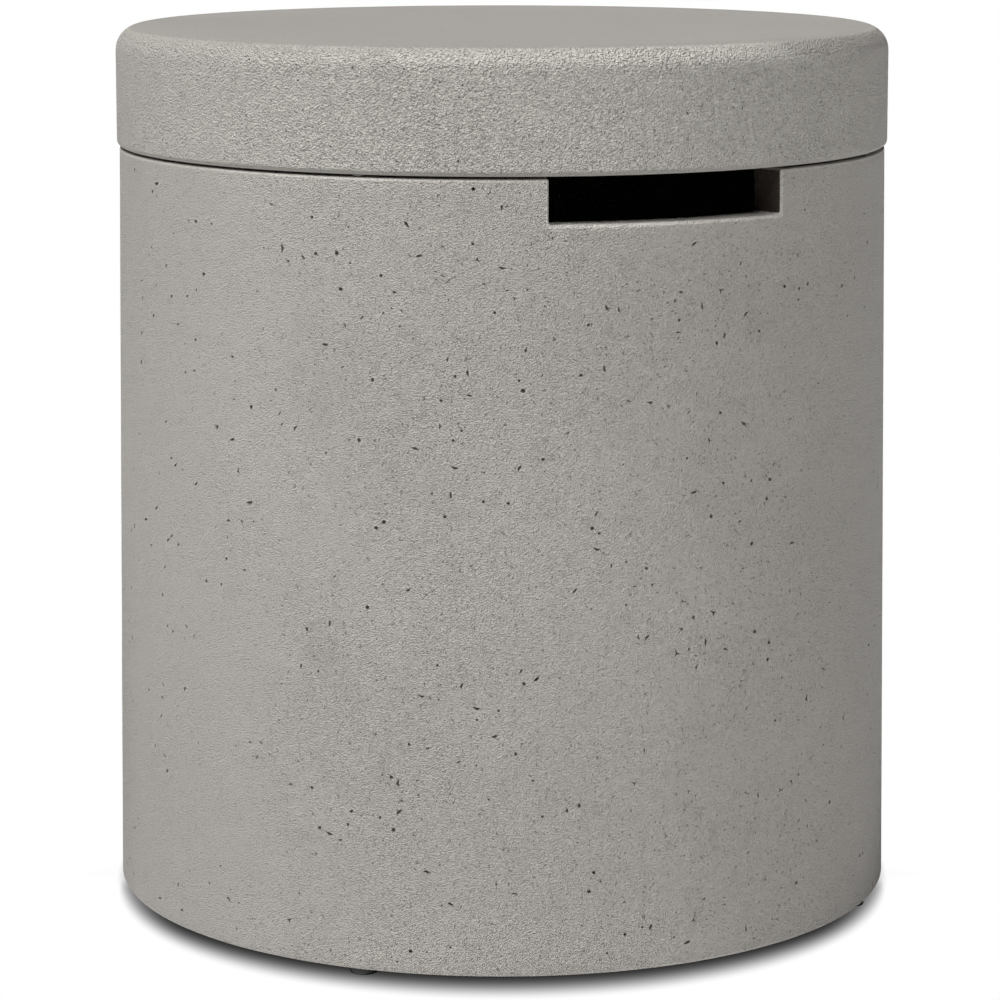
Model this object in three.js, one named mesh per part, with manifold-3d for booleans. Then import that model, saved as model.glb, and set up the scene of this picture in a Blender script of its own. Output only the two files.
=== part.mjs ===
// Round side table of cast concrete that hides a portable gas cylinder.
// A shell, open at the top and the bottom, stands over the cylinder on four rubber feet.
// A hollow lid is the table top. It lifts off: its skirt drops over an upstand on the shell's rim and
// rests on four small bumpers. Two notches in the rim, front and back, let the hose and the air through
// and leave room for fingers under the lid.
// Millimetres, +Z up. The origin is on the floor, at the middle of the shell; -Y is the front.
import * as THREE from "three";
import { mergeVertices } from "three/addons/utils/BufferGeometryUtils.js";
import Module from "manifold-3d";

const wasm = await Module();
wasm.setup();

// Shell: one casting, made with its rim down. Outside and bore widen a little towards the foot, which is
// the draft that lets the casting out of its mould and the core out of the casting.
const rimDiameter = 449;
const shellHeight = 438;
const shellWall = 21;
const outsideDraft = 5.5;
const boreDraft = 4;
const rimEdgeFillet = 1.6;
const footEdgeFillet = 3;

// Rim: a ledge for the lid, and inside it an upstand that keeps the lid in place and the rain out.
const upstandWall = 8;
const upstandHeight = 10;
const upstandFillet = 2;
const ledgeCornerFillet = 1;

// Notches: cut down through the rim, with ends that point at the shell's axis.
const notchWidth = 140;
const notchDepth = 25;
const notchFillet = 2.5;
const notchCount = 2;

// Lid: one hollow casting, a slab with a skirt, made with its top down. Its side widens a little towards the
// lip, and its hollow too, so that it leaves the mould and the core.
const lidHeight = 69;
const lidOverhang = 1.5;
const lidDraft = 0.2;
const slabThickness = 20;
const shoulderFillet = 14;
const lipFillet = 3;
const lidClearance = 2;
const skirtTaper = 2.5;
const skirtLipFillet = 1.5;
const lidInsideFillet = 14;

// Bumpers: clear self-adhesive discs under the lid's lip.
const bumperDiameter = 7;
const bumperThickness = 1;
const bumperFillet = 0.4;
const bumperCount = 4;

// Feet: black rubber discs glued under the shell.
const footDiameter = 16;
const footThickness = 4;
const footFillet = 1;
const footCount = 4;

// Fineness of the round shapes, and how far a cutter runs past what it cuts.
const bodySteps = 120;
const discSteps = 24;
const filletSteps = 5;
const smallFilletSteps = 2;
const cutOverrun = 6;

// Heights and radii that follow from the sizes above.
const shellBase = footThickness;
const ledgeLevel = shellBase + shellHeight;
const upstandTop = ledgeLevel + upstandHeight;
const lidBase = ledgeLevel + bumperThickness;
const lidTop = lidBase + lidHeight;
const slabUnderside = lidTop - slabThickness;

const rimRadius = rimDiameter / 2;
const footRadius = rimRadius + outsideDraft;
const boreRadius = rimRadius - shellWall;
const boreFootRadius = boreRadius + boreDraft;
const upstandRadius = boreRadius + upstandWall;
const lipRadius = rimRadius + lidOverhang;
const shoulderRadius = lipRadius - lidDraft;
const skirtRadius = upstandRadius + lidClearance;
const slabRadius = skirtRadius - skirtTaper;

// Quarter turns between the discs and the notches keep every disc on whole rim.
const firstDiscAngle = Math.PI / 4;

const concrete = { color: "#a8a5a0", roughness: 0.9, metalness: 0 };
const rubber = { color: "#1d1d1e", roughness: 0.75, metalness: 0 };
const silicone = { color: "#d6d8d8", roughness: 0.35, metalness: 0 };

// Points of an outline whose corners, each [x, y, fillet, steps], are rounded by arcs.
// A closed outline rounds every corner; an open one keeps its two ends as they are.
function roundedOutline(corners, closed) {
  const points = [];
  corners.forEach(([x, y, fillet = 0, steps = smallFilletSteps], i) => {
    const corner = new THREE.Vector2(x, y);
    const isEnd = !closed && (i === 0 || i === corners.length - 1);
    if (!fillet || isEnd) {
      points.push(corner);
      return;
    }
    const before = corners[(i - 1 + corners.length) % corners.length];
    const after = corners[(i + 1) % corners.length];
    const toBefore = new THREE.Vector2(before[0], before[1]).sub(corner);
    const toAfter = new THREE.Vector2(after[0], after[1]).sub(corner);
    // Half of the corner's angle gives how far the arc's ends and centre lie from the corner.
    const half = Math.acos(toBefore.dot(toAfter) / (toBefore.length() * toAfter.length())) / 2;
    const room = Math.min(toBefore.length(), toAfter.length()) / 2;
    const radius = Math.min(fillet, room * Math.tan(half));
    const inward = toBefore.clone().normalize().add(toAfter.clone().normalize()).normalize();
    const centre = corner.clone().addScaledVector(inward, radius / Math.sin(half));
    const start = corner.clone().addScaledVector(toBefore.normalize(), radius / Math.tan(half)).sub(centre);
    const turnsLeft = toBefore.cross(toAfter) < 0;
    const sweep = (turnsLeft ? 1 : -1) * (Math.PI - 2 * half);
    for (let step = 0; step <= steps; step++) {
      const arm = start.clone().rotateAround(new THREE.Vector2(), (sweep * step) / steps);
      points.push(arm.add(centre));
    }
  });
  if (closed) points.push(points[0].clone());
  return points;
}

// A solid of revolution about +Z from an outline of [radius, height] corners.
function revolve(corners, closed, steps) {
  return new THREE.LatheGeometry(roundedOutline(corners, closed), steps).rotateX(Math.PI / 2);
}

// A closed geometry as a solid that can be cut.
function toSolid(geometry) {
  const bare = geometry.clone();
  bare.deleteAttribute("normal");
  bare.deleteAttribute("uv");
  const merged = mergeVertices(bare);
  return new wasm.Manifold(
    new wasm.Mesh({
      numProp: 3,
      vertProperties: merged.attributes.position.array,
      triVerts: new Uint32Array(merged.index.array),
    }),
  );
}

function toGeometry(solid) {
  const mesh = solid.getMesh();
  const geometry = new THREE.BufferGeometry();
  geometry.setAttribute("position", new THREE.BufferAttribute(mesh.vertProperties, mesh.numProp));
  geometry.setIndex(new THREE.BufferAttribute(mesh.triVerts, 1));
  geometry.computeVertexNormals();
  return geometry;
}

// The tool for one notch, on the -Y side: an upright opening with a round-cornered floor, drawn in along
// lines through the shell's axis so that its ends are radial.
function notchCutter() {
  const halfWidth = notchWidth / 2;
  const chordDepth = Math.sqrt(rimRadius ** 2 - halfWidth ** 2);
  const floor = ledgeLevel - notchDepth;
  const top = upstandTop + cutOverrun;
  const outline = roundedOutline(
    [
      [-halfWidth, floor, notchFillet],
      [halfWidth, floor, notchFillet],
      [halfWidth, top],
      [-halfWidth, top],
    ],
    true,
  );
  const outside = footRadius + cutOverrun;
  const inside = (boreRadius * chordDepth) / rimRadius - cutOverrun;
  const cutter = new THREE.ExtrudeGeometry(new THREE.Shape(outline), {
    depth: outside - inside,
    bevelEnabled: false,
  });
  cutter.translate(0, 0, inside).rotateX(Math.PI / 2);
  const position = cutter.attributes.position;
  for (let i = 0; i < position.count; i++) {
    position.setX(i, (position.getX(i) * -position.getY(i)) / chordDepth);
  }
  return cutter;
}

function shellGeometry() {
  const outline = [
    [boreFootRadius, shellBase, footEdgeFillet],
    [footRadius, shellBase, footEdgeFillet],
    [rimRadius, ledgeLevel, rimEdgeFillet],
    [upstandRadius, ledgeLevel, ledgeCornerFillet],
    [upstandRadius, upstandTop, upstandFillet],
    [boreRadius, upstandTop, upstandFillet],
  ];
  let solid = toSolid(revolve(outline, true, bodySteps));
  for (let i = 0; i < notchCount; i++) {
    const cutter = notchCutter().rotateZ((i * 2 * Math.PI) / notchCount);
    solid = solid.subtract(toSolid(cutter));
  }
  return toGeometry(solid);
}

function lidGeometry() {
  const outline = [
    [0, slabUnderside],
    [slabRadius, slabUnderside, lidInsideFillet, filletSteps],
    [skirtRadius, lidBase, skirtLipFillet],
    [lipRadius, lidBase, lipFillet, smallFilletSteps + 1],
    [shoulderRadius, lidTop, shoulderFillet, filletSteps + 3],
    [0, lidTop],
  ];
  return revolve(outline, false, bodySteps);
}

// A flat disc on +Z whose lower edge is rounded, as the foot and the bumper are.
function discGeometry(diameter, thickness, fillet) {
  const radius = diameter / 2;
  return revolve([[0, 0], [radius, 0, fillet], [radius, thickness], [0, thickness]], false, discSteps);
}

function namedMesh(name, geometry, look) {
  const mesh = new THREE.Mesh(geometry, new THREE.MeshStandardMaterial(look));
  mesh.name = name;
  return mesh;
}

// A ring of like discs, spaced evenly round the axis.
function discRing(name, count, radius, level, geometry, look) {
  const ring = new THREE.Group();
  for (let i = 0; i < count; i++) {
    const angle = firstDiscAngle + (i * 2 * Math.PI) / count;
    const disc = namedMesh(`${name}_${i + 1}`, geometry, look);
    disc.position.set(radius * Math.cos(angle), radius * Math.sin(angle), level);
    ring.add(disc);
  }
  return ring;
}

const shell = namedMesh("shell", shellGeometry(), concrete);
const footRing = discRing(
  "foot",
  footCount,
  (footRadius + boreFootRadius) / 2,
  0,
  discGeometry(footDiameter, footThickness, footFillet),
  rubber,
);

const lid = namedMesh("lid", lidGeometry(), concrete);
const flatLipInside = skirtRadius + skirtLipFillet;
const flatLipOutside = Math.min(lipRadius - lipFillet, rimRadius - rimEdgeFillet);
const bumperRing = discRing(
  "lid_bumper",
  bumperCount,
  (flatLipInside + flatLipOutside) / 2,
  ledgeLevel,
  discGeometry(bumperDiameter, bumperThickness, bumperFillet),
  silicone,
);

const liftOffLid = new THREE.Group();
liftOffLid.add(lid, bumperRing);

const coverTable = new THREE.Group();
coverTable.add(shell, footRing, liftOffLid);

export default coverTable;
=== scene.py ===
import cmath
import math
import random

import bpy
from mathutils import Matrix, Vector


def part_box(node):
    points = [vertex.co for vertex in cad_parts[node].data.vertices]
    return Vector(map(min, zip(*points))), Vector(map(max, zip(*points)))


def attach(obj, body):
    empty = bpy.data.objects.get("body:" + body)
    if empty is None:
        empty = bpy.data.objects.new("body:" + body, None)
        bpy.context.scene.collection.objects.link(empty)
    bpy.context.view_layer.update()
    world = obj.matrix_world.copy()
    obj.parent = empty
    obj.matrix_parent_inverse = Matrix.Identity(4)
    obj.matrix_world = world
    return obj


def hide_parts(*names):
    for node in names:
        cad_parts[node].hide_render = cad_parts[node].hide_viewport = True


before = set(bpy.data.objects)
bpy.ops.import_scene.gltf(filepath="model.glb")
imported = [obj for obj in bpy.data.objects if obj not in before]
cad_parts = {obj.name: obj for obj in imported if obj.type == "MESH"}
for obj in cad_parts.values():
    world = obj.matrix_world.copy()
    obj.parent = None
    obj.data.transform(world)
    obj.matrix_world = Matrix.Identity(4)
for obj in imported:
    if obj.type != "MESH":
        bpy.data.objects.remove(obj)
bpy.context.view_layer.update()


# The shell: one casting of glass-fibre reinforced concrete, poured with its rim down, so that its outside
# and its bore widen a little towards the foot. The rim is stepped: a ledge carries the lid, and an upstand
# inside it keeps the lid in place. Air bubbles left the pits in its face, and the arrises were rubbed down.
shell_low, shell_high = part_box("shell")
shell_base = shell_low.z
upstand_top = shell_high.z
foot_radius = shell_high.x
outside_draft = 0.0055
bore_draft = 0.004
shell_wall = 0.021
foot_edge_fillet = 0.003
rim_edge_fillet = 0.0016
upstand_wall = 0.008
upstand_height = 0.010
upstand_fillet = 0.002
ledge_corner_fillet = 0.001
ledge_level = upstand_top - upstand_height
rim_radius = foot_radius - outside_draft
bore_radius = rim_radius - shell_wall
bore_foot_radius = bore_radius + bore_draft
upstand_radius = bore_radius + upstand_wall

notch_width = 0.140
notch_depth = 0.025
notch_fillet = 0.0025
notch_overrun = 0.015
notch_count = 2
notch_floor_steps = 18
arris_radius = 0.002
arris_steps = 4
notch_floor = ledge_level - notch_depth
notch_half_angle = math.asin(notch_width / 2 / rim_radius)

shell_steps = 384
shell_face_step = 0.007
bore_face_step = 0.026
rim_face_step = 0.006
arc_angle = math.radians(22.5)
arc_length = 0.0018


def section(corners, closed=True):
    """Points round a section. A corner is its radius, its height, its rounding, and the longest step
    that is allowed on the straight after it."""
    spots = [complex(radius, height) for radius, height, _, _ in corners]
    runs = []
    for i, (_, _, rounding, _) in enumerate(corners):
        if not closed and i in (0, len(corners) - 1):
            runs.append([spots[i]])
            continue
        back = spots[i - 1] - spots[i]
        ahead = spots[(i + 1) % len(spots)] - spots[i]
        back /= abs(back)
        ahead /= abs(ahead)
        half = abs(cmath.phase(ahead / back)) / 2
        centre = spots[i] + (back + ahead) / abs(back + ahead) * rounding / math.sin(half)
        start = spots[i] + back * rounding / math.tan(half) - centre
        end = spots[i] + ahead * rounding / math.tan(half) - centre
        turn = cmath.phase(end / start)
        steps = math.ceil(max(abs(turn) / arc_angle, abs(turn) * rounding / arc_length))
        runs.append([centre + start * cmath.exp(1j * turn * step / steps) for step in range(steps + 1)])
    points = []
    for i, run in enumerate(runs):
        points += run
        if closed or i + 1 < len(runs):
            stretch = runs[(i + 1) % len(runs)][0] - run[-1]
            steps = math.ceil(abs(stretch) / corners[i][3])
            points += [run[-1] + stretch * step / steps for step in range(1, steps)]
    return points


def section_mesh(name, points, closed=True):
    """The section as a chain of edges, drawn as a sweep along a circle of one metre turns it about +Z."""
    drawn = [(point.real - 1, -point.imag, 0) for point in reversed(points)]
    edges = [(i, i + 1) for i in range(len(drawn) - 1)]
    if closed:
        edges.append((len(drawn) - 1, 0))
    mesh = bpy.data.meshes.new(name)
    mesh.from_pydata(drawn, edges, [])
    return mesh


def add(tree, kind, inputs=None, **settings):
    """A new node. Its inputs are values or other nodes' outputs. Gives back its outputs."""
    node = tree.nodes.new(kind)
    for name, value in settings.items():
        setattr(node, name, value)
    for name, value in (inputs or {}).items():
        if isinstance(value, bpy.types.NodeSocket):
            tree.links.new(value, node.inputs[name])
        else:
            node.inputs[name].default_value = value
    return node.outputs


def calc(tree, operation, *values):
    return add(tree, "ShaderNodeMath", dict(enumerate(values)), operation=operation)[0]


def dot(tree, first, second):
    inputs = {0: first, 1: second}
    return add(tree, "ShaderNodeVectorMath", inputs, operation="DOT_PRODUCT")["Value"]


def fade(tree, value, start, end, low=0.0, high=1.0):
    """A smooth step from low, where value is start, to high, where it is end."""
    ends = {"Value": value, "From Min": start, "From Max": end, "To Min": low, "To Max": high}
    return add(tree, "ShaderNodeMapRange", ends, interpolation_type="SMOOTHSTEP")["Result"]


def per_metre(tree, size):
    if isinstance(size, bpy.types.NodeSocket):
        return calc(tree, "DIVIDE", 1.0, size)
    return 1 / size


def noise(tree, place, size, detail=2.0, twist=0.0):
    """Soft lumps of the given size. A twist draws them out into curls."""
    inputs = {"Vector": place, "Scale": per_metre(tree, size), "Detail": detail, "Distortion": twist}
    return add(tree, "ShaderNodeTexNoise", inputs)[0]


def cells(tree, place, size):
    """Distance to the nearest of the points that are scattered that far apart, as a share of it."""
    return add(tree, "ShaderNodeTexVoronoi", {"Vector": place, "Scale": per_metre(tree, size)})["Distance"]


def stirred(tree, place, size, reach):
    """The place moved about by a noise, so that a pattern on it is less regular."""
    drift = add(tree, "ShaderNodeTexNoise", {"Vector": place, "Scale": per_metre(tree, size)})["Color"]
    centred = {0: drift, 1: (reach,) * 3, 2: (-reach / 2,) * 3}
    moved = add(tree, "ShaderNodeVectorMath", centred, operation="MULTIPLY_ADD")[0]
    return add(tree, "ShaderNodeVectorMath", {0: place, 1: moved})[0]


def new_tree(name, inputs):
    """A Geometry Nodes tree whose named inputs are given as (socket type, value)."""
    tree = bpy.data.node_groups.new(name, "GeometryNodeTree")
    tree.interface.new_socket("Geometry", in_out="INPUT", socket_type="NodeSocketGeometry")
    for title, (kind, _) in inputs.items():
        tree.interface.new_socket(title, in_out="INPUT", socket_type="NodeSocket" + kind)
    tree.interface.new_socket("Geometry", in_out="OUTPUT", socket_type="NodeSocketGeometry")
    return tree, add(tree, "NodeGroupInput")


def turned(tree, outline, steps, merge_distance=0.00001):
    """The section swept round the axis, with the points on the axis merged."""
    line = add(tree, "GeometryNodeMeshToCurve", {"Mesh": outline})["Curve"]
    rail = add(tree, "GeometryNodeCurvePrimitiveCircle", {"Resolution": steps, "Radius": 1.0})["Curve"]
    swept = add(tree, "GeometryNodeCurveToMesh", {"Curve": rail, "Profile Curve": line})["Mesh"]
    return add(tree, "GeometryNodeMergeByDistance", {"Geometry": swept, "Distance": merge_distance})[0]


def ring_of(tree, shape, count, first_angle, radius, level):
    """Copies of a shape, spaced evenly round the axis."""
    index = add(tree, "GeometryNodeInputIndex")[0]
    share = calc(tree, "DIVIDE", index, count)
    angle = calc(tree, "MULTIPLY_ADD", share, math.tau, first_angle)
    along = add(tree, "ShaderNodeCombineXYZ", {
        "X": calc(tree, "MULTIPLY", calc(tree, "COSINE", angle), radius),
        "Y": calc(tree, "MULTIPLY", calc(tree, "SINE", angle), radius),
        "Z": level,
    })[0]
    turn = add(tree, "ShaderNodeCombineXYZ", {"Z": angle})[0]
    points = add(tree, "GeometryNodePoints", {"Count": count, "Position": along})[0]
    placed = {"Points": points, "Instance": shape, "Rotation": turn}
    copies = add(tree, "GeometryNodeInstanceOnPoints", placed)[0]
    return add(tree, "GeometryNodeRealizeInstances", {"Geometry": copies})[0]


def cut(tree, body, cutter):
    inputs = {"Mesh 1": body, "Mesh 2": cutter}
    return add(tree, "GeometryNodeMeshBoolean", inputs, operation="DIFFERENCE", solver="MANIFOLD")["Mesh"]


def sunk(tree, body, depth):
    """The body with each point moved inwards, so that nothing stands proud of its outline."""
    inward = calc(tree, "MULTIPLY", depth, -1.0)
    normal = add(tree, "GeometryNodeInputNormal")[0]
    offset = add(tree, "ShaderNodeVectorMath", {0: normal, "Scale": inward}, operation="SCALE")[0]
    return add(tree, "GeometryNodeSetPosition", {"Geometry": body, "Offset": offset})[0]


def facing_out(tree, spot):
    """The distance from the axis, times how squarely the surface faces away from it."""
    flat = add(tree, "ShaderNodeCombineXYZ", {"X": spot["X"], "Y": spot["Y"]})[0]
    return dot(tree, flat, add(tree, "GeometryNodeInputNormal")[0])


pit_size_seed = 7


def pitted(tree, body, shapes, chance, inputs):
    """Bubble pits cut into the body. chance, from 0 to 1, thins them out."""
    spots = add(tree, "GeometryNodeDistributePointsOnFaces", {
        "Mesh": body,
        "Distance Min": inputs["Pit Spacing"],
        "Density Max": inputs["Pit Density"],
        "Density Factor": chance,
        "Seed": inputs["Seed"],
    }, distribute_method="POISSON")
    spin = {"Min": 0.0, "Max": math.tau, "Seed": inputs["Seed"]}
    angle = add(tree, "FunctionNodeRandomValue", spin, data_type="FLOAT")[1]
    turn = add(tree, "ShaderNodeCombineXYZ", {"Z": angle})[0]
    rotation = add(tree, "FunctionNodeRotateRotation", {
        "Rotation": spots["Rotation"],
        "Rotate By": turn,
    }, rotation_space="LOCAL")[0]
    draw = add(tree, "FunctionNodeRandomValue", {"Seed": pit_size_seed}, data_type="FLOAT")[1]
    size = add(tree, "ShaderNodeMapRange", {
        "Value": calc(tree, "POWER", draw, inputs["Pit Rarity"]),
        "To Min": inputs["Smallest Pit"],
        "To Max": inputs["Largest Pit"],
    })["Result"]
    source = {"Collection": shapes, "Separate Children": True, "Reset Children": True}
    pits = add(tree, "GeometryNodeInstanceOnPoints", {
        "Points": spots["Points"],
        "Instance": add(tree, "GeometryNodeCollectionInfo", source)[0],
        "Pick Instance": True,
        "Rotation": rotation,
        "Scale": add(tree, "ShaderNodeCombineXYZ", {"X": size, "Y": size, "Z": size})[0],
    })[0]
    pits = add(tree, "GeometryNodeRealizeInstances", {"Geometry": pits})[0]
    marked = {"Geometry": pits, "Name": "pit", "Value": 1.0}
    pits = add(tree, "GeometryNodeStoreNamedAttribute", marked, data_type="FLOAT", domain="FACE")[0]
    return cut(tree, body, pits)


def finish_tree(tree, body, material, crease=math.radians(32)):
    """Smooth faces with sharp creases, real geometry, and the material."""
    fold = add(tree, "GeometryNodeInputMeshEdgeAngle")["Unsigned Angle"]
    steep = calc(tree, "GREATER_THAN", fold, crease)
    for domain, selection, smooth in (("FACE", True, True), ("EDGE", steep, False)):
        body = add(tree, "GeometryNodeSetShadeSmooth", {
            "Geometry": body,
            "Selection": selection,
            "Shade Smooth": smooth,
        }, domain=domain)[0]
    body = add(tree, "GeometryNodeRealizeInstances", {"Geometry": body})[0]
    body = add(tree, "GeometryNodeSetMaterial", {"Geometry": body, "Material": material})[0]
    add(tree, "NodeGroupOutput", {0: body})


def make_piece(name, start, tree, inputs, body, slot, *nodes):
    """Runs the tree on a start mesh, keeps the result as a plain mesh, and seats it in the frame."""
    maker = bpy.data.objects.new(name + "_maker", start)
    bpy.context.scene.collection.objects.link(maker)
    modifier = maker.modifiers.new(name, "NODES")
    modifier.node_group = tree
    for item in tree.interface.items_tree:
        if item.in_out == "INPUT" and item.name in inputs:
            modifier[item.identifier] = inputs[item.name][1]
    bpy.context.view_layer.update()
    evaluated = maker.evaluated_get(bpy.context.evaluated_depsgraph_get())
    mesh = bpy.data.meshes.new_from_object(evaluated)
    mesh.materials.clear()
    mesh.materials.append(inputs["Material"][1])
    mesh.polygons.foreach_set("material_index", [0] * len(mesh.polygons))
    maker.modifiers.remove(modifier)
    bpy.data.objects.remove(maker)
    piece = bpy.data.objects.new(name, mesh)
    bpy.context.scene.collection.objects.link(piece)
    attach(piece, body)
    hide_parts(*nodes)


def leaning(height):
    """How far the draft has moved the wall out at a height below the ledge."""
    return outside_draft * (ledge_level - height) / (ledge_level - shell_base)


def skin_depth(radius, height):
    """How deep a point lies below the nearest face of the shell's rim, less than nothing outside it."""
    roof = ledge_level if radius > upstand_radius else upstand_top
    depths = [rim_radius - radius, radius - bore_radius, roof - height]
    if height > ledge_level:
        depths.append(upstand_radius - radius)
    return min(depths)


def arris_flare(depth):
    """How much wider the rounded arris makes the notch at that depth below the skin."""
    short = arris_radius - min(max(depth, 0), arris_radius)
    return arris_radius - math.sqrt(arris_radius**2 - short**2)


def notch_cutter():
    """The tool for one notch, on the -Y side: radial ends, a round-cornered floor, and a mouth that opens
    out where it meets the casting's faces, so that it leaves rounded arrises."""
    half_width = notch_width / 2
    chord_depth = math.sqrt(rim_radius**2 - half_width**2)
    top = upstand_top + notch_overrun
    turns = [math.pi / 2 * step / arris_steps for step in range(arris_steps + 1)]
    dips = [arris_radius * (1 - math.cos(turn)) for turn in turns]
    heights = [top] + [upstand_top - dip for dip in dips] + [ledge_level - dip for dip in dips]
    places = [2 * step / notch_floor_steps - 1 for step in range(notch_floor_steps + 1)]
    across = [place * (half_width - notch_fillet) for place in places]

    left = [((-half_width, height), (-1, 0)) for height in heights]
    for turn in turns:
        out = (-math.cos(turn), -math.sin(turn))
        spot = (-half_width + notch_fillet * (1 + out[0]), notch_floor + notch_fillet * (1 + out[1]))
        left.append((spot, out))
    right = [((-x, height), (-out_x, out_z)) for (x, height), (out_x, out_z) in reversed(left)]
    bottom = [((x, notch_floor), (0, -1)) for x in across[1:-1]]
    lid_line = [((-x, top), (0, 1)) for x in across]
    outline = left + bottom + right + lid_line

    stations = [rim_radius + notch_overrun] + [rim_radius - dip for dip in dips]
    stations += [upstand_radius + arris_radius] + [upstand_radius - dip for dip in dips]
    stations += [bore_radius + dip for dip in reversed(dips)] + [bore_radius - notch_overrun]
    points = []
    for station in stations:
        for (x, height), (out_x, out_z) in outline:
            flare = 0 if out_z > 0 else arris_flare(skin_depth(station, height))
            angle = math.atan((x + out_x * flare) / chord_depth)
            radius = station + leaning(height)
            points.append((radius * math.sin(angle), -radius * math.cos(angle), height + out_z * flare))
    count = len(outline)
    faces = []
    for ring in range(len(stations) - 1):
        for i in range(count):
            following = (i + 1) % count
            first, second = ring * count, (ring + 1) * count
            faces.append((first + i, second + i, second + following, first + following))
    # Each end is closed by upright strips, so that it follows the round wall.
    floor_start = len(left) - 1
    strips = len(across) - 1
    for first, flip in ((0, False), ((len(stations) - 1) * count, True)):
        caps = [(*range(floor_start + 1), count - 1)]
        for i in range(strips):
            caps.append((floor_start + i, floor_start + i + 1, count - 2 - i, count - 1 - i))
        right_start = floor_start + strips
        caps.append(tuple(range(right_start, count - strips)))
        for cap in caps:
            ordered = reversed(cap) if flip else cap
            faces.append(tuple(first + i for i in ordered))
    mesh = bpy.data.meshes.new("notch_cutter")
    mesh.from_pydata(points, [], faces)
    mesh.validate()
    return bpy.data.objects.new("notch_cutter", mesh)


pit_draw = random.Random(11)
pit_variants = 5
pit_bend = 0.35
pit_narrowest = 0.7
pit_widest = 1.2
arm_sharpness = 5
round_lobe = 0.5
roof_level = 0.0006
roof_share = 1.1
waist_level = 0.4
waist_share = 0.88
bottom_share = 0.42


def pit_shape(name, arms, reach, waist, depth, corners):
    """One bubble pit as a cutter: a round, long or three-armed mouth that is bent a little, and a smaller
    bottom below it. Its roof clears the face that it is cut into."""
    bend = pit_draw.uniform(-pit_bend, pit_bend)
    mouth = []
    for i in range(corners):
        angle = math.tau * i / corners
        lobe = abs(math.cos(arms * angle / 2)) ** arm_sharpness if arms else round_lobe
        radius = (waist + (reach - waist) * lobe) * pit_draw.uniform(pit_narrowest, pit_widest)
        x = radius * math.cos(angle)
        y = radius * math.sin(angle)
        mouth.append((x, y + bend * x**2 / reach))
    levels = ((roof_level, roof_share), (-depth * waist_level, waist_share), (-depth, bottom_share))
    points = []
    for level, share in levels:
        points += [(x * share, y * share, level) for x, y in mouth]
    faces = [tuple(range(corners)), tuple(reversed(range(2 * corners, 3 * corners)))]
    for ring in (0, corners):
        for i in range(corners):
            following = (i + 1) % corners
            faces.append((ring + i, ring + corners + i, ring + corners + following, ring + following))
    mesh = bpy.data.meshes.new(name)
    mesh.from_pydata(points, [], faces)
    return bpy.data.objects.new(name, mesh)


pit_shapes = bpy.data.collections.new("pit_shapes")
for i in range(pit_variants):
    pit = pit_shape(f"pit_round_{i}", arms=0, reach=0.0009, waist=0.0006, depth=0.0009, corners=7)
    pit_shapes.objects.link(pit)
for i in range(pit_variants):
    pit = pit_shape(f"pit_long_{i}", arms=2, reach=0.0016, waist=0.0005, depth=0.0008, corners=8)
    pit_shapes.objects.link(pit)
pit = pit_shape("pit_three_armed", arms=3, reach=0.0016, waist=0.0004, depth=0.0008, corners=12)
pit_shapes.objects.link(pit)


sealed_tint = (0.308, 0.2935, 0.2725)
raw_tint = (0.22, 0.205, 0.183)
# Painted shade: the notches' end faces are nearly black, as if the lid's shadow lay on them.
notch_end_shade_tint = (0.03, 0.022, 0.016)
sealed_roughness = 0.85
trowelled_roughness = 0.6

# Sizes and depths of the patterns in the face.
stir_size = 0.0033
sand_stir = 0.0007
sand_detail = 0.5
rough_patch_size = 0.09
trowel_effect = 0.92
lump_size = 0.0067
lump_depth = 0.00005
dent_spacing = 0.0023
dent_stir = 0.0012
pore_size = 0.0017
pore_depth = 0.0005
crack_size = 0.005
crack_patch_size = 0.014
crack_depth = 0.0002
cloud_size = 0.14
mottle_size = 0.017

# For each pattern, the values between which it comes in, and the shares or tones that it goes from and to.
rough_patch_fade = (0.38, 0.66, 0.8, 1.0)
dent_fade = (0.5, 0.06)
pore_fade = (0.68, 0.72)
crack_fade = (0.02, 0.008)
crack_patch_fade = (0.58, 0.64)
cloud_fade = (0.25, 0.75, 0.98, 1.02)
mottle_fade = (0.2, 0.8, 0.99, 1.01)
grain_shade_fade = (0.25, 0.55, 0.82, 1.03)
# Painted shade: darker low down on the left, deepest where that side turns to the back.
foot_shade_height_fade = (0.34, 0.0)
foot_shade_left_fade = (0.06, -0.12, 0.25, 1.0)
deep_foot_shade_back_fade = (-0.01, 0.06)

# What each leaves of the face's brightness, or adds to it.
foot_shade_tone = 0.93
deep_foot_shade_tone = 0.88
# Painted shade in the hollows: the dents, pores, hair cracks and pits are darker.
dent_shade_tone = 0.9
pore_shade_tone = 0.5
crack_shade_tone = 0.8
pit_shade_tone = 0.5
smooth_shade_tone = 0.9
wear_and_highlight_tone = 1.3
shoulder_shade_tone = 0.77


def tinted(tree, tint, brightness):
    return add(tree, "ShaderNodeVectorMath", {0: tint, "Scale": brightness}, operation="SCALE")[0]


def mixed(tree, share, first, second):
    return add(tree, "ShaderNodeMix", {0: share, 4: first, 5: second}, data_type="VECTOR")[1]


def distance_from_axis(tree, spot):
    across = calc(tree, "POWER", spot["X"], 2.0)
    return calc(tree, "SQRT", calc(tree, "ADD", across, calc(tree, "POWER", spot["Y"], 2.0)))


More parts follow.
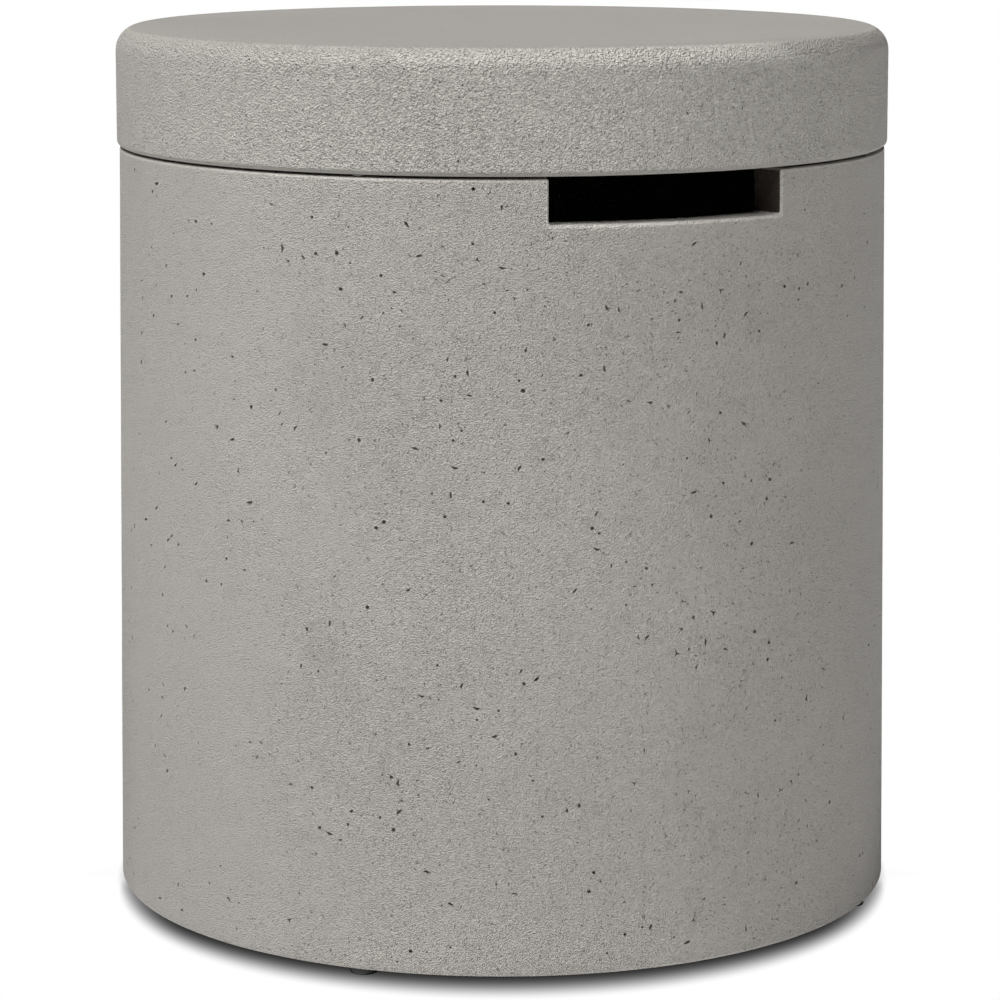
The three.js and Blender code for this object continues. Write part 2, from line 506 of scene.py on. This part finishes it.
def concrete(name, find_zones, sand_size, sand_depth, dent_depth, rough_light_tone):
    """Cast concrete with a sealed matt face. find_zones gives how far a place on the piece is raw inside,
    at a notch's end painted dark as shade, dimpled by the mould, trowelled smooth, lighter on an arris as
    worn paste with a painted highlight, or in painted shade."""
    material = bpy.data.materials.new(name)
    material.use_nodes = True
    tree = material.node_tree
    tree.nodes.clear()
    place = add(tree, "ShaderNodeTexCoord")["Object"]
    spot = add(tree, "ShaderNodeSeparateXYZ", {0: place})
    zone = find_zones(tree, place, spot, distance_from_axis(tree, spot))
    pit = add(tree, "ShaderNodeAttribute", attribute_name="pit")["Fac"]

    # Relief: sand grains, the mould's dimples, small pores, hair cracks and soft lumps.
    patches = fade(tree, noise(tree, place, rough_patch_size), *rough_patch_fade)
    untrowelled = calc(tree, "MULTIPLY_ADD", zone["smooth"], -trowel_effect, 1.0)
    rough = calc(tree, "MULTIPLY", patches, untrowelled)
    sand = noise(tree, stirred(tree, place, stir_size, sand_stir), sand_size, sand_detail)
    lumps = noise(tree, place, lump_size)
    dent = cells(tree, stirred(tree, place, stir_size, dent_stir), dent_spacing)
    dent = fade(tree, dent, *dent_fade)
    pore = fade(tree, noise(tree, place, pore_size, detail=1.0), *pore_fade)
    curl = noise(tree, place, crack_size, twist=1.0)
    curl = calc(tree, "ABSOLUTE", calc(tree, "SUBTRACT", curl, 0.5))
    cracked = fade(tree, noise(tree, place, crack_patch_size), *crack_patch_fade)
    crack = calc(tree, "MULTIPLY", fade(tree, curl, *crack_fade), cracked)
    relief = calc(tree, "MULTIPLY", sand, calc(tree, "MULTIPLY", rough, sand_depth))
    relief = calc(tree, "MULTIPLY_ADD", lumps, lump_depth, relief)
    dent = calc(tree, "MULTIPLY", dent, zone["dimpled"])
    relief = calc(tree, "MULTIPLY_ADD", dent, -dent_depth, relief)
    pore = calc(tree, "MULTIPLY", pore, rough)
    relief = calc(tree, "MULTIPLY_ADD", pore, -pore_depth, relief)
    crack = calc(tree, "MULTIPLY", crack, rough)
    relief = calc(tree, "MULTIPLY_ADD", crack, -crack_depth, relief)
    bump = add(tree, "ShaderNodeBump", {"Height": relief, "Distance": 1.0, "Strength": 1.0})["Normal"]

    # Brightness: clouds from uneven drying; the grain, darker in its hollows and lighter on its crests, as
    # painted shade and highlight; painted shade towards the foot on the left; painted shade in pits, dents,
    # pores and hair cracks; and arrises lighter where the paste is worn bare, with a painted highlight on
    # them.
    clouds = fade(tree, noise(tree, place, cloud_size, detail=3.0), *cloud_fade)
    mottle = fade(tree, noise(tree, place, mottle_size, detail=4.0), *mottle_fade)
    # Painted shade and highlight: the grain is darker where the sand lies low and lighter where it stands
    # high.
    grain_shade = fade(tree, sand, *grain_shade_fade)
    brightness = calc(tree, "MULTIPLY", calc(tree, "MULTIPLY", clouds, mottle), grain_shade)
    # Painted shade towards the foot on the left, deepest at the left back.
    foot_shade = fade(tree, spot["Z"], *foot_shade_height_fade)
    foot_shade = calc(tree, "MULTIPLY", foot_shade, fade(tree, spot["X"], *foot_shade_left_fade))
    deep_foot_shade = calc(tree, "MULTIPLY", foot_shade, fade(tree, spot["Y"], *deep_foot_shade_back_fade))
    tones = (
        # Rough patches are painted lighter, painted light that makes up for the shade their deeper bump
        # gives.
        (rough, rough_light_tone),
        (foot_shade, foot_shade_tone),
        (deep_foot_shade, deep_foot_shade_tone),
        # Painted shade in the dents, pores, hair cracks and pits.
        (dent, dent_shade_tone),
        (pore, pore_shade_tone),
        (crack, crack_shade_tone),
        (pit, pit_shade_tone),
        # Painted shade: trowelled faces are darker, mostly the lid's flat top, also the lips, the rim and
        # the calm sides.
        (zone["smooth"], smooth_shade_tone),
        # Lighter arrises and shoulder: partly worn paste, partly a painted highlight.
        (zone["wear_and_highlight"], wear_and_highlight_tone),
        # Painted shade on the lid's shoulder towards +X.
        (zone["painted_shade"], shoulder_shade_tone),
    )
    for share, factor in tones:
        brightness = calc(tree, "MULTIPLY", brightness, fade(tree, share, 0.0, 1.0, 1.0, factor))
    sealed = tinted(tree, sealed_tint, brightness)
    raw = tinted(tree, raw_tint, brightness)
    notch_end_shade = tinted(tree, notch_end_shade_tint, brightness)
    colour = mixed(tree, zone["raw"], sealed, raw)
    colour = mixed(tree, zone["notch_end_shade"], colour, notch_end_shade)

    roughness = fade(tree, zone["smooth"], 0.0, 1.0, sealed_roughness, trowelled_roughness)
    surface = add(tree, "ShaderNodeBsdfPrincipled", {
        "Base Color": colour,
        "Roughness": roughness,
        "Normal": bump,
        "Specular IOR Level": 0.3,
    })["BSDF"]
    add(tree, "ShaderNodeOutputMaterial", {"Surface": surface})
    return material


def wall_radius(tree, height, top_radius, top_level, draft):
    """The radius of a drafted wall at a height."""
    drop = calc(tree, "SUBTRACT", top_level, height)
    return calc(tree, "MULTIPLY_ADD", drop, draft / (top_level - shell_base), top_radius)


# Where each zone starts and where it is full, as places along X, heights, depths in the casting, or
# distances from the notch.
calm_right = (0.05, 0.17)
calm_left = (-0.18, -0.222)
raw_depths = (0.0022, 0.0008)
notch_end_shade_depths = (0.0008, 0.0014)
notch_end_shade_heights = (notch_floor + 0.0004, notch_floor + 0.001)
notch_wear_highlight_distances = (0.0022, 0.0012)
notch_wear_highlight_depths = (0.004, 0.0018)
rim_wear_highlight_heights = (ledge_level - 0.0026, ledge_level - 0.0012)
foot_wear_highlight_heights = (shell_base + 0.003, shell_base + 0.0012)
smooth_rim_heights = (ledge_level - 0.002, ledge_level)
shell_calm = 0.5

dimple_patch_size = 0.0625
dimple_patch_fade = (0.46, 0.64, 0.1, 0.5)
rub_patch_size = 0.01
rub_patch_fade = (0.3, 0.55, 0.65, 1.0)


def calm_sides(tree, spot, most):
    """The mould's lining was coarsest at the front, so the casting is smoother to the left and right."""
    right = fade(tree, spot["X"], *calm_right, 0.0, most)
    left = fade(tree, spot["X"], *calm_left, 0.0, most)
    return calc(tree, "MAXIMUM", left, right)


def shell_zones(tree, place, spot, radius):
    """How far each finish, painted shade and painted highlight holds at a place on the shell, from 0 to 1.
    """
    height = spot["Z"]
    outside = wall_radius(tree, height, rim_radius, ledge_level, outside_draft)
    bore = wall_radius(tree, height, bore_radius, upstand_top, bore_draft)
    from_outside = calc(tree, "SUBTRACT", outside, radius)
    from_bore = calc(tree, "SUBTRACT", radius, bore)
    in_wall = calc(tree, "MINIMUM", from_outside, calc(tree, "SUBTRACT", ledge_level, height))
    in_upstand = calc(tree, "MINIMUM", calc(tree, "SUBTRACT", upstand_radius, radius),
                      calc(tree, "SUBTRACT", upstand_top, height))
    below_skin = calc(tree, "MINIMUM", calc(tree, "MAXIMUM", in_wall, in_upstand), from_bore)

    # How far the place is outside the nearest notch, along the face.
    turn = calc(tree, "ARCTAN2", calc(tree, "ABSOLUTE", spot["X"]), calc(tree, "ABSOLUTE", spot["Y"]))
    beside = calc(tree, "MULTIPLY", calc(tree, "SUBTRACT", turn, notch_half_angle), rim_radius)
    from_notch = calc(tree, "MAXIMUM", beside, calc(tree, "SUBTRACT", notch_floor, height))

    above_floor = fade(tree, height, *notch_end_shade_heights)
    # Lighter arrises at the notch, the rim and the foot: paste worn bare, and a painted highlight.
    notch_edge = calc(tree, "MULTIPLY", fade(tree, from_notch, *notch_wear_highlight_distances),
                      fade(tree, from_outside, *notch_wear_highlight_depths))
    rim_edge = fade(tree, height, *rim_wear_highlight_heights)
    foot_edge = fade(tree, height, *foot_wear_highlight_heights)
    wear_and_highlight = calc(tree, "MAXIMUM", notch_edge, calc(tree, "MAXIMUM", rim_edge, foot_edge))
    rub_patches = fade(tree, noise(tree, place, rub_patch_size), *rub_patch_fade)
    on_rim = fade(tree, height, *smooth_rim_heights)
    return {
        "raw": fade(tree, from_bore, *raw_depths),
        # Painted shade on the notch's end faces, above its floor.
        "notch_end_shade": calc(tree, "MULTIPLY", fade(tree, below_skin, *notch_end_shade_depths), above_floor),
        "dimpled": fade(tree, noise(tree, place, dimple_patch_size), *dimple_patch_fade),
        "smooth": calc(tree, "MAXIMUM", on_rim, calm_sides(tree, spot, shell_calm)),
        "wear_and_highlight": calc(tree, "MULTIPLY", wear_and_highlight, rub_patches),
        "painted_shade": 0.0,
    }


shell_concrete = concrete(
    "shell_concrete",
    shell_zones,
    sand_size=0.00078,
    sand_depth=0.0024,
    dent_depth=0.00035,
    rough_light_tone=1.265,
)

# Pits are only where a face looks out, clear of the rounded edges, and they crowd in patches.
pit_face_reach = rim_radius * 0.96
pit_lowest = shell_base + foot_edge_fillet
pit_highest = ledge_level - rim_edge_fillet - 0.002
pit_patch_size = 0.055
pit_patch_fade = (0.4, 0.62, 0.25, 1.0)

shell_inputs = {
    "Steps": ("Int", shell_steps),
    "Unevenness": ("Float", 0.00018),
    "Lump Size": ("Float", 0.045),
    "Notch Cutter": ("Object", notch_cutter()),
    "Notch Count": ("Int", notch_count),
    "Pit Shapes": ("Collection", pit_shapes),
    "Pit Density": ("Float", 6600.0),
    "Pit Spacing": ("Float", 0.0048),
    "Pit Rarity": ("Float", 2.4),
    "Smallest Pit": ("Float", 0.45),
    "Largest Pit": ("Float", 1.75),
    "Seed": ("Int", 3),
    "Material": ("Material", shell_concrete),
}
tree, given = new_tree("shell casting", shell_inputs)
casting = turned(tree, given["Geometry"], given["Steps"])
place = add(tree, "GeometryNodeInputPosition")[0]
lumps = noise(tree, place, given["Lump Size"])
casting = sunk(tree, casting, calc(tree, "MULTIPLY", lumps, given["Unevenness"]))
cutter = add(tree, "GeometryNodeObjectInfo", {"Object": given["Notch Cutter"]})["Geometry"]
casting = cut(tree, casting, ring_of(tree, cutter, given["Notch Count"], 0.0, 0.0, 0.0))
spot = add(tree, "ShaderNodeSeparateXYZ", {0: place})
on_face = calc(tree, "GREATER_THAN", facing_out(tree, spot), pit_face_reach)
clear_of_foot = calc(tree, "GREATER_THAN", spot["Z"], pit_lowest)
clear_of_rim = calc(tree, "LESS_THAN", spot["Z"], pit_highest)
chance = calc(tree, "MULTIPLY", on_face, calc(tree, "MULTIPLY", clear_of_foot, clear_of_rim))
patches = fade(tree, noise(tree, place, pit_patch_size), *pit_patch_fade)
chance = calc(tree, "MULTIPLY", chance, patches)
casting = pitted(tree, casting, given["Pit Shapes"], chance, given)
finish_tree(tree, casting, given["Material"])

shell_section = section([
    (bore_foot_radius, shell_base, foot_edge_fillet, bore_face_step),
    (foot_radius, shell_base, foot_edge_fillet, shell_face_step),
    (rim_radius, ledge_level, rim_edge_fillet, rim_face_step),
    (upstand_radius, ledge_level, ledge_corner_fillet, rim_face_step),
    (upstand_radius, upstand_top, upstand_fillet, rim_face_step),
    (bore_radius, upstand_top, upstand_fillet, bore_face_step),
])
shell_start = section_mesh("shell_section", shell_section)
make_piece("concrete_shell", shell_start, tree, shell_inputs, "shell", "concrete", "shell")


# The feet: four discs of black rubber glued under the shell, so that it stands clear of wet ground. Each is
# moulded, with a rounded lower edge and a shallow ring in its sole that grips the floor.
foot_low, foot_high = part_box("foot_1")
foot_disc_radius = (foot_high.x - foot_low.x) / 2
foot_thickness = foot_high.z - foot_low.z
foot_count = 4
foot_edge = 0.001
foot_top_edge = 0.00025
sole_ring_radius = 0.0045
sole_ring_width = 0.0018
sole_ring_depth = 0.0006
sole_ring_edge = 0.0002
sole_inside = sole_ring_radius - sole_ring_width / 2
sole_outside = sole_ring_radius + sole_ring_width / 2

disc_steps = 36
disc_step = 0.002
disc_flat_step = 0.004
moulded_mottle_size = 0.004
moulded_mottle_fade = (0.2, 0.8, 0.85, 1.15)


def moulded(name, tint, roughness, grain_size, grain_depth, **sockets):
    """A moulded finish with a fine mottle in its colour and surface."""
    material = bpy.data.materials.new(name)
    material.use_nodes = True
    tree = material.node_tree
    tree.nodes.clear()
    place = add(tree, "ShaderNodeTexCoord")["Object"]
    mottle = fade(tree, noise(tree, place, moulded_mottle_size, detail=3.0), *moulded_mottle_fade)
    colour = tinted(tree, tint, mottle)
    relief = calc(tree, "MULTIPLY", noise(tree, place, grain_size), grain_depth)
    bump = add(tree, "ShaderNodeBump", {"Height": relief, "Distance": 1.0})["Normal"]
    inputs = {"Base Color": colour, "Roughness": roughness, "Normal": bump}
    inputs.update({key.replace("_", " "): value for key, value in sockets.items()})
    surface = add(tree, "ShaderNodeBsdfPrincipled", inputs)["BSDF"]
    add(tree, "ShaderNodeOutputMaterial", {"Surface": surface})
    return material


def disc_ring_tree(name, inputs):
    """A tree that turns a disc from its section and sets copies of it round the axis."""
    tree, given = new_tree(name, inputs)
    disc = turned(tree, given["Geometry"], given["Steps"])
    ring = ring_of(tree, disc, given["Count"], given["First Angle"], given["Ring Radius"], given["Level"])
    finish_tree(tree, ring, given["Material"])
    return tree


def disc_ring_inputs(low, high, count, material):
    """The ring's sizes, from the box of its first disc."""
    centre = (low + high) / 2
    return {
        "Steps": ("Int", disc_steps),
        "Count": ("Int", count),
        "First Angle": ("Float", math.atan2(centre.y, centre.x)),
        "Ring Radius": ("Float", math.hypot(centre.x, centre.y)),
        "Level": ("Float", low.z),
        "Material": ("Material", material),
    }


foot_rubber = moulded(
    "foot_rubber",
    tint=(0.034, 0.034, 0.036),
    roughness=0.72,
    grain_size=0.0006,
    grain_depth=0.00003,
)
foot_section = section([
    (0, 0, 0, disc_flat_step),
    (sole_inside, 0, sole_ring_edge, disc_step),
    (sole_inside, sole_ring_depth, sole_ring_edge, disc_step),
    (sole_outside, sole_ring_depth, sole_ring_edge, disc_step),
    (sole_outside, 0, sole_ring_edge, disc_step),
    (foot_disc_radius, 0, foot_edge, disc_step),
    (foot_disc_radius, foot_thickness, foot_top_edge, disc_flat_step),
    (0, foot_thickness, 0, disc_flat_step),
], closed=False)
foot_inputs = disc_ring_inputs(foot_low, foot_high, foot_count, foot_rubber)
foot_nodes = [f"foot_{i + 1}" for i in range(foot_count)]
foot_start = section_mesh("foot_section", foot_section, closed=False)
foot_tree = disc_ring_tree("foot ring", foot_inputs)
make_piece("rubber_feet", foot_start, foot_tree, foot_inputs, "shell", "rubber", *foot_nodes)


# The lid: the table top, one hollow casting of the same concrete, a slab with a skirt. Its side keeps the
# coarse dimples of the mould, and its top and round shoulder were trowelled and rubbed smooth.
lid_low, lid_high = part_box("lid")
box_margin = 0.00002
lid_base = lid_low.z
lid_top = lid_high.z - box_margin
lid_overhang = 0.0015
lid_draft = 0.0002
slab_thickness = 0.020
shoulder_fillet = 0.014
lip_fillet = 0.003
lid_clearance = 0.002
skirt_taper = 0.0025
skirt_lip_fillet = 0.0015
lid_inside_fillet = 0.014
slab_underside = lid_top - slab_thickness
lip_radius = rim_radius + lid_overhang
shoulder_radius = lip_radius - lid_draft
skirt_radius = upstand_radius + lid_clearance
slab_radius = skirt_radius - skirt_taper

lid_steps = 960
lid_side_step = 0.0014
lid_flat_step = 0.055
lid_inside_step = 0.016

# Where each of the lid's zones starts and where it is full, as heights, radii or places along X.
dimple_start_heights = (lid_base + 0.001, lid_base + 0.004)
dimple_end_heights = (lid_top - 0.0004, lid_top - 0.0025)
hollow_heights = (slab_underside + 0.001, slab_underside)
hollow_radii = (skirt_radius + 0.002, skirt_radius + 0.0005)
top_heights = (lid_top - 0.0025, lid_top - 0.0004)
lip_heights = (lid_base + 0.003, lid_base + 0.001)
shoulder_start_heights = (lid_top - 0.0135, lid_top - 0.007)
shoulder_end_heights = (lid_top - 0.0006, lid_top - 0.002)
shoulder_highlight_left = (-0.2, -0.16, 0.2, 0.5)
shoulder_highlight_right = (0.09, 0.05)
shoulder_shade_x = (0.06, 0.1)
lid_calm = 0.3


def lid_dimpled(tree, height):
    return calc(tree, "MULTIPLY", fade(tree, height, *dimple_start_heights),
                fade(tree, height, *dimple_end_heights))


def lid_zones(tree, place, spot, radius):
    """How far each finish, painted highlight and painted shade holds at a place on the lid, from 0 to 1."""
    height = spot["Z"]
    below = fade(tree, height, *hollow_heights)
    within = fade(tree, radius, *hollow_radii)
    on_top = fade(tree, height, *top_heights)
    at_lip = fade(tree, height, *lip_heights)
    smooth = calc(tree, "MAXIMUM", on_top, at_lip)
    on_shoulder = calc(tree, "MULTIPLY", fade(tree, height, *shoulder_start_heights),
                       fade(tree, height, *shoulder_end_heights))
    # Painted highlight along the shoulder, where X lies between about -0.2 and 0.09, fading at both ends.
    wear_and_highlight = calc(tree, "MULTIPLY", fade(tree, spot["X"], *shoulder_highlight_left),
                  fade(tree, spot["X"], *shoulder_highlight_right))
    return {
        "raw": calc(tree, "MULTIPLY", below, within),
        "notch_end_shade": 0.0,
        "dimpled": lid_dimpled(tree, height),
        "smooth": calc(tree, "MAXIMUM", smooth, calm_sides(tree, spot, lid_calm)),
        "wear_and_highlight": calc(tree, "MULTIPLY", on_shoulder, wear_and_highlight),
        # Painted shade on the shoulder towards +X.
        "painted_shade": calc(tree, "MULTIPLY", on_shoulder, fade(tree, spot["X"], *shoulder_shade_x)),
    }


lid_concrete = concrete(
    "lid_concrete",
    lid_zones,
    sand_size=0.0009,
    sand_depth=0.0044,
    dent_depth=0.0009,
    rough_light_tone=1.61,
)

# The dimples and nearly all the pits are on the lid's side. The flat top gets only a small share of pits.
side_reach = (rim_radius * 0.6, rim_radius * 0.95)
dimple_fade = (0.7, 0.1)
top_facing = (0.9, 1.0)
top_pit_share = 0.1

lid_inputs = {
    "Steps": ("Int", lid_steps),
    "Dimple Depth": ("Float", 0.00022),
    "Dimple Size": ("Float", 0.0042),
    "Pit Shapes": ("Collection", pit_shapes),
    "Pit Density": ("Float", 3600.0),
    "Pit Spacing": ("Float", 0.0056),
    "Pit Rarity": ("Float", 2.0),
    "Smallest Pit": ("Float", 0.35),
    "Largest Pit": ("Float", 1.0),
    "Seed": ("Int", 5),
    "Material": ("Material", lid_concrete),
}
tree, given = new_tree("lid casting", lid_inputs)
casting = turned(tree, given["Geometry"], given["Steps"])
place = add(tree, "GeometryNodeInputPosition")[0]
spot = add(tree, "ShaderNodeSeparateXYZ", {0: place})
on_side = fade(tree, facing_out(tree, spot), *side_reach)
on_side = calc(tree, "MULTIPLY", on_side, lid_dimpled(tree, spot["Z"]))
dimple = fade(tree, cells(tree, place, given["Dimple Size"]), *dimple_fade)
dimple = calc(tree, "MULTIPLY", dimple, on_side)
casting = sunk(tree, casting, calc(tree, "MULTIPLY", dimple, given["Dimple Depth"]))
normal = add(tree, "GeometryNodeInputNormal")[0]
facing_up = add(tree, "ShaderNodeSeparateXYZ", {0: normal})["Z"]
on_top = calc(tree, "MULTIPLY", fade(tree, facing_up, *top_facing), top_pit_share)
chance = calc(tree, "MAXIMUM", on_side, on_top)
casting = pitted(tree, casting, given["Pit Shapes"], chance, given)
finish_tree(tree, casting, given["Material"])

lid_section = section([
    (0, slab_underside, 0, lid_flat_step),
    (slab_radius, slab_underside, lid_inside_fillet, lid_inside_step),
    (skirt_radius, lid_base, skirt_lip_fillet, lid_inside_step),
    (lip_radius, lid_base, lip_fillet, lid_side_step),
    (shoulder_radius, lid_top, shoulder_fillet, lid_flat_step),
    (0, lid_top, 0, lid_flat_step),
], closed=False)
lid_start = section_mesh("lid_section", lid_section, closed=False)
make_piece("concrete_lid", lid_start, tree, lid_inputs, "lid", "concrete", "lid")


# The bumpers: four clear silicone discs stuck under the lid's lip. They hold the thin seam open between the
# lid and the shell, and keep concrete off concrete.
bumper_low, bumper_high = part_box("lid_bumper_1")
bumper_count = 4
bumper_radius = (bumper_high.x - bumper_low.x) / 2
bumper_thickness = bumper_high.z - bumper_low.z
bumper_dome = 0.0007
bumper_top_edge = 0.00014

clear_silicone = moulded(
    "clear_silicone",
    tint=(0.62, 0.64, 0.64),
    roughness=0.32,
    grain_size=0.0011,
    grain_depth=0.00001,
    Transmission_Weight=0.5,
    IOR=1.41,
)
bumper_section = section([
    (0, 0, 0, disc_step),
    (bumper_radius, 0, bumper_dome, disc_step),
    (bumper_radius, bumper_thickness, bumper_top_edge, disc_step),
    (0, bumper_thickness, 0, disc_step),
], closed=False)
bumper_inputs = disc_ring_inputs(bumper_low, bumper_high, bumper_count, clear_silicone)
bumper_nodes = [f"lid_bumper_{i + 1}" for i in range(bumper_count)]
bumper_start = section_mesh("bumper_section", bumper_section, closed=False)
bumper_tree = disc_ring_tree("bumper ring", bumper_inputs)
make_piece("silicone_bumpers", bumper_start, bumper_tree, bumper_inputs, "lid", "silicone", *bumper_nodes)


# The camera: at the photograph's viewing angle, to the left of the front and a little above the table's
# top, tilted down, on a long lens.
camera_azimuth = math.radians(-24.55)
camera_distance = 2.1567
camera_height = 0.6289
camera_pitch = math.radians(9.4477)
camera_data = bpy.data.cameras.new("camera")
camera_data.lens = 131.698
camera_data.sensor_width = 36
camera_data.shift_x = -0.00205
camera_data.shift_y = -0.07
camera = bpy.data.objects.new("camera", camera_data)
camera.location = (
    camera_distance * math.sin(camera_azimuth),
    -camera_distance * math.cos(camera_azimuth),
    camera_height,
)
camera.rotation_euler = (math.pi / 2 - camera_pitch, 0, camera_azimuth)
bpy.context.scene.collection.objects.link(camera)
bpy.context.scene.camera = camera


# The studio: a plain white floor and background, and three soft lamps. As the camera sees it, the floor is
# white but for a painted shadow in a narrow band along the shell's front and round its foot, cast by no
# lamp.
floor_size = 40.0
floor_paint = (0.8, 0.8, 0.8, 1)
display_gamma = 2.2
world_light = 0.04
shadow_lightness = 0.196
shadow_start = -0.0185
shadow_end = 0.0278
shadow_full_width = 0.18
shadow_width = 0.27
shadow_back = 0.05
contact_shadow_start = foot_radius - 0.015
contact_shadow_end = foot_radius + 0.005


def direction(azimuth, elevation):
    """The unit vector towards a lamp. The azimuth is counted from the camera, to the right."""
    around = camera_azimuth + math.radians(azimuth)
    up = math.radians(elevation)
    return Vector((math.sin(around) * math.cos(up), -math.cos(around) * math.cos(up), math.sin(up)))


def studio_floor():
    """A flat floor that gives light back to the table like matt white paint. The camera sees it glow evenly
    white but for a painted shadow at the foot, whose lightness is set as it looks on a display."""
    half = floor_size / 2
    corners = [(-half, -half, 0), (half, -half, 0), (half, half, 0), (-half, half, 0)]
    mesh = bpy.data.meshes.new("studio_floor")
    mesh.from_pydata(corners, [], [(0, 1, 2, 3)])
    material = bpy.data.materials.new("studio_floor")
    material.use_nodes = True
    tree = material.node_tree
    tree.nodes.clear()
    place = add(tree, "ShaderNodeTexCoord")["Object"]
    # The painted shadow: a band in front of the shell on the camera's side, and a ring round the foot,
    # fixed on the floor.
    ahead = dot(tree, place, direction(0, 0))
    beside = dot(tree, place, direction(90, 0))
    room = calc(tree, "SUBTRACT", foot_radius**2, calc(tree, "POWER", beside, 2.0))
    past_foot = calc(tree, "SUBTRACT", ahead, calc(tree, "SQRT", calc(tree, "MAXIMUM", room, 0.0)))
    shade = fade(tree, past_foot, shadow_end, shadow_start)
    width = fade(tree, calc(tree, "ABSOLUTE", beside), shadow_width, shadow_full_width)
    in_front = calc(tree, "MULTIPLY", width, fade(tree, ahead, 0.0, shadow_back))
    shade = calc(tree, "MULTIPLY", shade, in_front)
    from_middle = add(tree, "ShaderNodeVectorMath", {0: place}, operation="LENGTH")["Value"]
    shade = calc(tree, "MAXIMUM", shade, fade(tree, from_middle, contact_shadow_end, contact_shadow_start))
    lightness = calc(tree, "MULTIPLY_ADD", shade, shadow_lightness - 1.0, 1.0)
    tone = calc(tree, "POWER", lightness, display_gamma)
    seen = add(tree, "ShaderNodeEmission", {"Strength": tone})[0]
    lit = add(tree, "ShaderNodeBsdfDiffuse", {"Color": floor_paint})[0]
    camera_ray = add(tree, "ShaderNodeLightPath")["Is Camera Ray"]
    surface = add(tree, "ShaderNodeMixShader", {0: camera_ray, 1: lit, 2: seen})[0]
    add(tree, "ShaderNodeOutputMaterial", {"Surface": surface})
    mesh.materials.append(material)
    floor = bpy.data.objects.new("studio_floor", mesh)
    bpy.context.scene.collection.objects.link(floor)


def studio_light(name, azimuth, elevation, strength, spread, mirrored=True):
    """A far soft lamp. One that isn't mirrored gives no glint on a surface."""
    lamp = bpy.data.lights.new(name, "SUN")
    lamp.energy = strength
    lamp.angle = math.radians(spread)
    light = bpy.data.objects.new(name, lamp)
    light.rotation_euler = direction(azimuth, elevation).to_track_quat("Z", "Y").to_euler()
    light.visible_glossy = mirrored
    bpy.context.scene.collection.objects.link(light)


studio_floor()
studio_light("key", azimuth=-50, elevation=60, strength=3.7, spread=20)
studio_light("fill", azimuth=10, elevation=60, strength=1.45, spread=20)
studio_light("back", azimuth=180, elevation=7, strength=1.2, spread=20, mirrored=False)

world = bpy.data.worlds.new("studio")
world.use_nodes = True
bpy.context.scene.world = world
tree = world.node_tree
tree.nodes.clear()
camera_ray = add(tree, "ShaderNodeLightPath")["Is Camera Ray"]
tone = fade(tree, camera_ray, 0.0, 1.0, world_light, 1.0)
background = add(tree, "ShaderNodeBackground", {"Color": (1, 1, 1, 1), "Strength": tone})[0]
add(tree, "ShaderNodeOutputWorld", {"Surface": background})
bpy.context.scene.view_settings.view_transform = "Standard"
